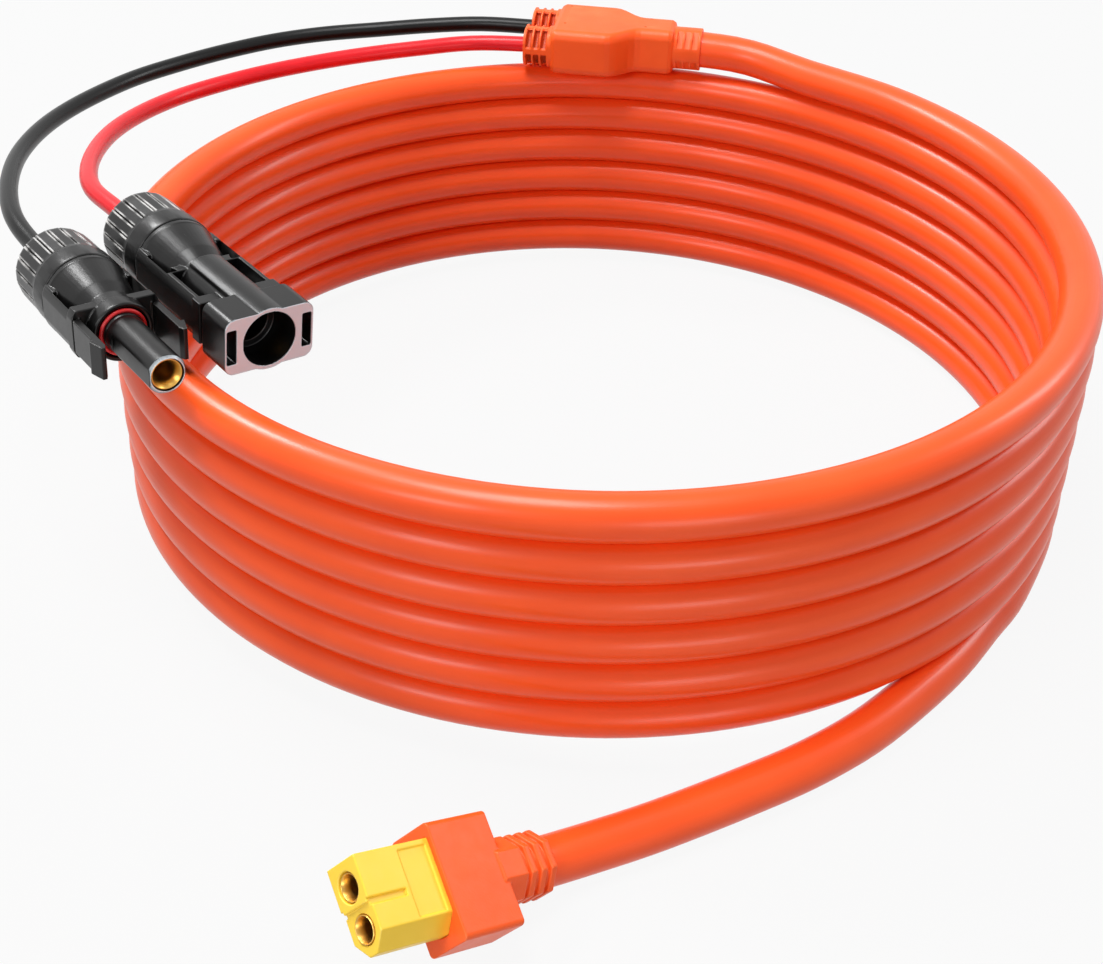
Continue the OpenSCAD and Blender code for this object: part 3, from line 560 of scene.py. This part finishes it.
# Painted highlight along the flutes' edges (1) and painted shade in the grooves' bottoms (-1).
FLUTE_EDGES = (0, 0, 0, 0.7, 1, 1, 0, -1, 0, 1, 1, 0.7, 0, 0)
FLUTE_DEEP = 0.7
NUT_PROFILE = (  # x, radius, share of the grip grooves' depth
    (-16.7, 3.6, 0), (-16.95, 3.75, 0), (-17, 4, 0), (-17, 6.2, 0), (-16.95, 6.7, 0), (-16.75, 7.25, 0),
    (-16.4, 7.75, 0.4), (-15.9, 8.2, 0.8), (-15.2, 8.6, 1), (-14.4, 8.74, 1), (-12, 8.8, 1), (-9, 8.85, 1),
    (-6.6, 8.88, 1), (-6.1, 8.9, 0.9), (-5.75, 8.9, 0.55), (-5.5, 8.9, 0.1), (-5.35, 8.91, 0),
    (-5.1, 8.93, 0), (-4.95, 8.98, 0), (-4.8, 9, 0), (-2.5, 9, 0), (-0.5, 9, 0), (-0.28, 8.95, 0),
    (-0.15, 8.86, 0), (-0.1, 8.7, 0), (-0.1, 7.95, 0), (-0.2, 7.8, 0), (-0.4, 7.7, 0), (-10.5, 7.7, 0),
    (-10.5, 6.3, 0), (-13.5, 6.3, 0), (-13.5, 3.6, 0))


def fluted(r, i, k, angle):
    """Cuts the grip's flutes into a cap nut's profile."""
    step = len(FLUTE_STEPS)
    where = (k // step + FLUTE_STEPS[k % step]) / FLUTES
    deep = NUT_PROFILE[i][2]
    off = min(FLUTE_STEPS[k % step], 1 - FLUTE_STEPS[k % step])
    flat = math.cos(math.pi / FLUTES) / math.cos(2 * math.pi / FLUTES * off)
    r = r * (1 + deep * (flat - 1)) - deep * FLUTE_DEEP * FLUTE_DEPTHS[k % step]
    return r, 2 * math.pi * where


for kind, place in (("socket", AT_SOCKET), ("pin", AT_PIN)):
    nut = revolved([(x, r) for x, r, deep in NUT_PROFILE], FLUTES * len(FLUTE_STEPS), fluted)
    solid(kind + "_grip_nut", nut, place, "black_shell", kind + "_cap_nut", (kind + "_nut",),
          edges=[deep * FLUTE_EDGES[k % len(FLUTE_STEPS)]
                 for x, r, deep in NUT_PROFILE for k in range(FLUTES * len(FLUTE_STEPS))])


# ---- connector housings
def thread_cutter():
    """The helical groove of the threaded stub."""
    pitch, steps, turns = 2.5, 48, 3.3
    half_top, half_floor, crest, floor = 0.8, 0.25, STUB_D / 2 + 0.2, STUB_D / 2 - 0.5
    bm = bmesh.new()
    rings = []
    for i in range(int(steps * turns) + 1):
        a, x = 2 * math.pi * i / steps, -STUB_L + half_top + pitch * i / steps
        rings.append([bm.verts.new((x + dx, r * math.cos(a), r * math.sin(a)))
                      for dx, r in ((-half_top, crest), (-half_floor, floor),
                                    (half_floor, floor), (half_top, crest))])
    for one, two in zip(rings, rings[1:]):
        for k in range(4):
            bm.faces.new((one[k], one[(k + 1) % 4], two[(k + 1) % 4], two[k]))
    bm.faces.new(rings[0])
    bm.faces.new(rings[-1])
    bmesh.ops.recalc_face_normals(bm, faces=bm.faces)
    mesh = bpy.data.meshes.new("thread")
    bm.to_mesh(mesh)
    bm.free()
    return mesh


def prism_mesh(outline, z_low, z_high):
    """A closed prism from an outline in the XY plane."""
    bm = bmesh.new()
    low = [bm.verts.new((x, y, z_low)) for x, y in outline]
    high = [bm.verts.new((x, y, z_high)) for x, y in outline]
    bm.faces.new(low)
    bm.faces.new(high)
    for k in range(len(outline)):
        n = (k + 1) % len(outline)
        bm.faces.new((low[k], low[n], high[n], high[k]))
    bmesh.ops.recalc_face_normals(bm, faces=bm.faces)
    mesh = bpy.data.meshes.new("prism")
    bm.to_mesh(mesh)
    bm.free()
    return mesh


WING_INSIDE, NOSE_FLAT, CLEAR = 8.25, 3.55, 6   # half widths: between the wings, of the nose, past both
NOSE_START, FACE_DEEP = O_RING_X + 3.4, 0.6
WINDOW = ((3.75, WING_INSIDE), (12.2, WING_INSIDE), (12.2, 6.1), (11.4, 6.1), (8.6, 7.15), (7.4, 7.3),
          (3.75, 7.3))
windows = [prism_mesh([(x, side * y) for x, y in WINDOW], -CLEAR, CLEAR) for side in (-1, 1)]
flats = [box_mesh((NOSE_START, low, -4), (FRONT_L + 1, high, 4))
         for low, high in ((-CLEAR, -NOSE_FLAT), (NOSE_FLAT, CLEAR))]
mouth = revolved([(36.2, 1), (36.2, 3.3), (38, 3.3), (38, 1)], 64)
lip = revolved([(16.4, 5.25), (16.4, 6.2), (17.75, 6.2), (17.95, 6.0), (17.95, 5.5), (17.75, 5.25)], 96)
for kind, place, cuts, adds in (("socket", AT_SOCKET, [*flats, mouth], [lip]), ("pin", AT_PIN, [], [])):
    shell = carved(node_mesh(kind + "_housing", place), thread_cutter(), *windows, *cuts)
    solid(kind + "_shell", softened(joined(shell, *adds), voxel=0.15, rounds=2, keep=0.16), place,
          "black_shell", SET, (kind + "_housing",), face_at=FRONT_L - FACE_DEEP, shows=0.2)

for side in ("left", "right"):
    node = "socket_latch_" + side
    solid(side + "_latch", softened(node_mesh(node, AT_SOCKET), voxel=0.11, rounds=2, keep=0.3),
          AT_SOCKET, "black_shell", side + "_latch_finger", (node,), shows=0.35)

SOCKET_CONTACT = (  # x, radius
    (-2.4, 2.4), (10.5, 2.4), (10.5, 3.3), (12.5, 3.3), (12.5, 2.9), (36.3, 2.9), (36.45, 3.15), (36.9, 3.2),
    (37.02, 3.1), (37.05, 2.98), (36.95, 2.86), (36.0, 2.3), (35.6, 2.1), (35.3, 2.03), (31.6, 2.03),
    (31.6, 2.28), (23.4, 2.28), (23.4, 2.03), (19.7, 2.03), (19.7, 0), (5.3, 0), (5.3, 1.2), (-2.4, 1.2))
solid("socket_contact_tube", revolved(SOCKET_CONTACT, 96), AT_SOCKET, "brass", SET, ("socket_contact",))

RING_POINTS = 24
ring = revolved([(O_RING_X + O_RING_T / 2 * math.cos(a), O_RING_R + O_RING_T / 2 * math.sin(a))
                 for a in (2 * math.pi * i / RING_POINTS for i in range(RING_POINTS))], 96)
solid("o_ring", ring, AT_SOCKET, "red_rubber", SET, ("socket_o_ring",))

# ---- splitter
DOTS = ((-13.6, 8.8), (-13.3, -4.5), (9.3, 4.0), (8.4, -2.5))   # the ejector dots' x, y
DOT_Z, DOT_R = 6.1, 0.42
dimples = [dot_mesh((x, y * flip, DOT_Z * flip), DOT_R) for x, y in DOTS for flip in (1, -1)]
SLOT_HALF_W, SLOT_SHARE, SLOT_ROWS = 0.7, 0.24, 3   # along x, then half the length over the side
RELIEF_X = SPLITTER_END - RELIEF_L                  # where the strain reliefs meet the body
LEAD_RELIEF, TRUNK_RELIEF = (10.2, 5.56, 2.3), (11, 5.62, 0.6)   # side, corner's reach, slots' depth
RELIEFS = (  # x, y, way out, the relief's own sizes
    (-RELIEF_X, LEAD_SPACING / 2, -1, LEAD_RELIEF),
    (-RELIEF_X, -LEAD_SPACING / 2, -1, LEAD_RELIEF),
    (RELIEF_X, 0, 1, TRUNK_RELIEF))
LEAD_SLOTS = 2 * SLOT_ROWS * 4                      # the slots over the leads, which get painted shade
slots = []   # a place, and two corners of a box there
for x, y, way, (side, reach, depth) in RELIEFS:
    for i in range(SLOT_ROWS):
        for a in range(45, 360, 90):
            at = (Matrix.Translation((x + way * RELIEF_L / (SLOT_ROWS + 0.5) * (i + 0.75), y, 0))
                  @ Matrix.Rotation(math.radians(a), 4, "X"))
            slots.append((at, (-SLOT_HALF_W, -SLOT_SHARE * side, reach - depth),
                          (SLOT_HALF_W, SLOT_SHARE * side, reach + 1)))
slot_cutters = []
for at, low, high in slots:
    slot_cutters.append(box_mesh(low, high))
    slot_cutters[-1].transform(at)
splitter = softened(node_mesh("splitter_overmould", AT_SPLITTER), voxel=0.18, rounds=3, keep=0.3)
solid("splitter_shell", carved(splitter, *dimples, *slot_cutters), AT_SPLITTER, "orange_moulding", SET,
      ("splitter_overmould",), hollows=slots[:LEAD_SLOTS])

# ---- plug
GROOVE_BACK, GROOVE_HALF_W, GROOVE_FLOOR, GROOVE_TOP = -8.1, 0.6, 3.45, 5
grooves = [box_mesh((GROOVE_BACK, -GROOVE_HALF_W, low), (1, GROOVE_HALF_W, high))
           for low, high in ((-GROOVE_TOP, -GROOVE_FLOOR), (GROOVE_FLOOR, GROOVE_TOP))]
grooved = carved(node_mesh("plug_housing", AT_PLUG), *grooves)
solid("plug_shell", softened(grooved, voxel=0.12, rounds=2, keep=0.3), AT_PLUG, "yellow_shell", SET,
      ("plug_housing",))
CONTACT_PROFILE = (  # x, radius
    (-26.5, 2.5), (-0.55, 2.5), (-0.35, 2.42), (-0.3, 2.34), (-0.42, 2.24), (-1.9, 1.82), (-2.1, 1.8),
    (-11.6, 1.8), (-11.7, 1.6), (-11.7, 0), (-21.5, 0), (-21.5, 1.35), (-26.5, 1.35))
for side, node in ((-1, "plug_contact_left"), (1, "plug_contact_right")):
    tube_mesh = revolved([(x, r) for x, r in CONTACT_PROFILE], 64)
    tube_mesh.transform(Matrix.Translation((0, side * PLUG_PITCH / 2, 0)))
    solid(node + "_tube", tube_mesh, AT_PLUG, "brass", SET, (node,))

NECK_R, NECK_CORE_R, BORE_R = 6.25, 5.15, CABLE_D / 2 + 0.1
CUT_X, OVERLAP = -PLUG_L - SHELL_L - 4.2, 0.4   # where the CAD's neck is cut off, and the new one starts


def octagonal(r, i, k, angle):
    """Gives the neck's outer rings eight flats, and leaves its core round."""
    turn = math.pi / 4
    off = (angle + turn / 2) % turn - turn / 2
    return (r * math.cos(turn / 2) / math.cos(off) if r > NECK_CORE_R + 0.2 else r), angle


RING_FIRST, RING_PITCH, RINGS = 1.95, 2.4, 3
RING_FRONTS = [-PLUG_BACK + RING_FIRST + RING_PITCH * i for i in range(RINGS)]
bar = [(-PLUG_BACK, BORE_R), (-PLUG_BACK, NECK_CORE_R - 0.15), (-PLUG_BACK + 0.2, NECK_CORE_R)]
for front in RING_FRONTS:
    bar += [(front - 1.62, NECK_CORE_R), (front - 1.5, NECK_CORE_R + 0.15), (front - 1.35, NECK_R - 0.1),
            (front - 1.2, NECK_R), (front - 0.15, NECK_R), (front, NECK_R - 0.12),
            (front + 0.1, NECK_CORE_R + 0.1), (front + 0.22, NECK_CORE_R)]
last_groove = bar.pop()[0]
bar += [(last_groove + 0.45, NECK_CORE_R), (last_groove + 0.6, NECK_R - 0.1), (last_groove + 0.75, NECK_R),
        (CUT_X + OVERLAP, NECK_R), (CUT_X + OVERLAP, BORE_R)]
neck = revolved(bar, 96, octagonal)
block = carved(node_mesh("plug_overmould", AT_PLUG), box_mesh((-60, -15, -15), (CUT_X, 15, 15)))
solid("plug_backshell", softened(joined(block, neck), voxel=0.17, rounds=2, keep=0.3), AT_PLUG,
      "orange_moulding", SET, ("plug_overmould",))

# ---------------------------------------------------------------- floor, world and lamps
WORLD_LIGHT, FLOOR_HALF, FLOOR_GLOW = 0.14, 9.0, 0.92


def floor_material():
    """Pale paper, which the camera and reflections see nearly white, with the object's shadow on it."""
    m = Nodes("floor", Roughness=0.9)
    grain = m.noise(m.coordinates(), 300, 3)
    m.to_shader("Base Color", m.blend(grain, (0.32, 0.32, 0.32), (0.29, 0.29, 0.29)))
    rays = m.add("ShaderNodeLightPath").outputs
    seen = m.maths("MAXIMUM", m.maths("MAXIMUM", rays["Is Camera Ray"], rays["Is Glossy Ray"]),
                   rays["Is Transmission Ray"])
    glow = m.add("ShaderNodeEmission", Color=(1, 1, 1, 1), Strength=1.0)
    mix = m.add("ShaderNodeMixShader", {"Fac": m.maths("MULTIPLY", seen, FLOOR_GLOW)})
    m.tree.links.new(m.shader.outputs[0], mix.inputs[1])
    m.tree.links.new(glow.outputs[0], mix.inputs[2])
    m.tree.links.new(mix.outputs[0], m.tree.nodes["Material Output"].inputs["Surface"])
    return m.material


floor_mesh = bpy.data.meshes.new("floor")
floor_mesh.from_pydata(
    [(x * FLOOR_HALF, y * FLOOR_HALF, 0) for x, y in ((-1, -1), (1, -1), (1, 1), (-1, 1))],
    [], [(0, 1, 2, 3)])
floor_mesh.materials.append(floor_material())
floor = bpy.data.objects.new("floor", floor_mesh)
bpy.context.scene.collection.objects.link(floor)

# The world lights the object a little, and is white to the camera and to reflections.
world = bpy.data.worlds.new("studio")
bpy.context.scene.world = world
world.use_nodes = True
links, background = world.node_tree.links, world.node_tree.nodes["Background"]
background.inputs["Color"].default_value = (1, 1, 1, 1)
rays = world.node_tree.nodes.new("ShaderNodeLightPath")
seen = world.node_tree.nodes.new("ShaderNodeMath")
seen.operation = "MAXIMUM"
links.new(rays.outputs["Is Camera Ray"], seen.inputs[0])
links.new(rays.outputs["Is Glossy Ray"], seen.inputs[1])
seen_through = world.node_tree.nodes.new("ShaderNodeMath")
seen_through.operation = "MAXIMUM"
links.new(seen.outputs[0], seen_through.inputs[0])
links.new(rays.outputs["Is Transmission Ray"], seen_through.inputs[1])
strength = world.node_tree.nodes.new("ShaderNodeMapRange")
strength.inputs["To Min"].default_value = WORLD_LIGHT
strength.inputs["To Max"].default_value = 1.0
links.new(seen_through.outputs[0], strength.inputs["Value"])
links.new(strength.outputs["Result"], background.inputs["Strength"])


def lamp(name, at, to, size, watts):
    """A rectangular soft lamp at a place, turned towards a point."""
    light = bpy.data.lights.new(name, "AREA")
    light.shape, light.size, light.size_y, light.energy = "RECTANGLE", size[0], size[1], watts
    made = bpy.data.objects.new(name, light)
    bpy.context.scene.collection.objects.link(made)
    made.matrix_world = (Matrix.Translation(Vector(at))
                         @ (Vector(to) - Vector(at)).to_track_quat("-Z", "Y").to_matrix().to_4x4())


MIDDLE = (0.02, 0, 0.05)
lamp("key", (-0.15, -0.05, 1.1), MIDDLE, (0.5, 0.4), 9.5)
lamp("back", (-0.5, 0.4, 0.8), MIDDLE, (0.22, 0.22), 6.0)
lamp("front", (-0.55, -0.85, 0.6), MIDDLE, (0.3, 0.3), 3.4)
lamp("low", (0.3, -0.75, 0.1), (-0.1, 0, 0.07), (0.3, 0.2), 1.1)
lamp("rim", (0.95, 0.35, 0.6), (0.05, 0, 0.05), (0.15, 0.5), 3.0)
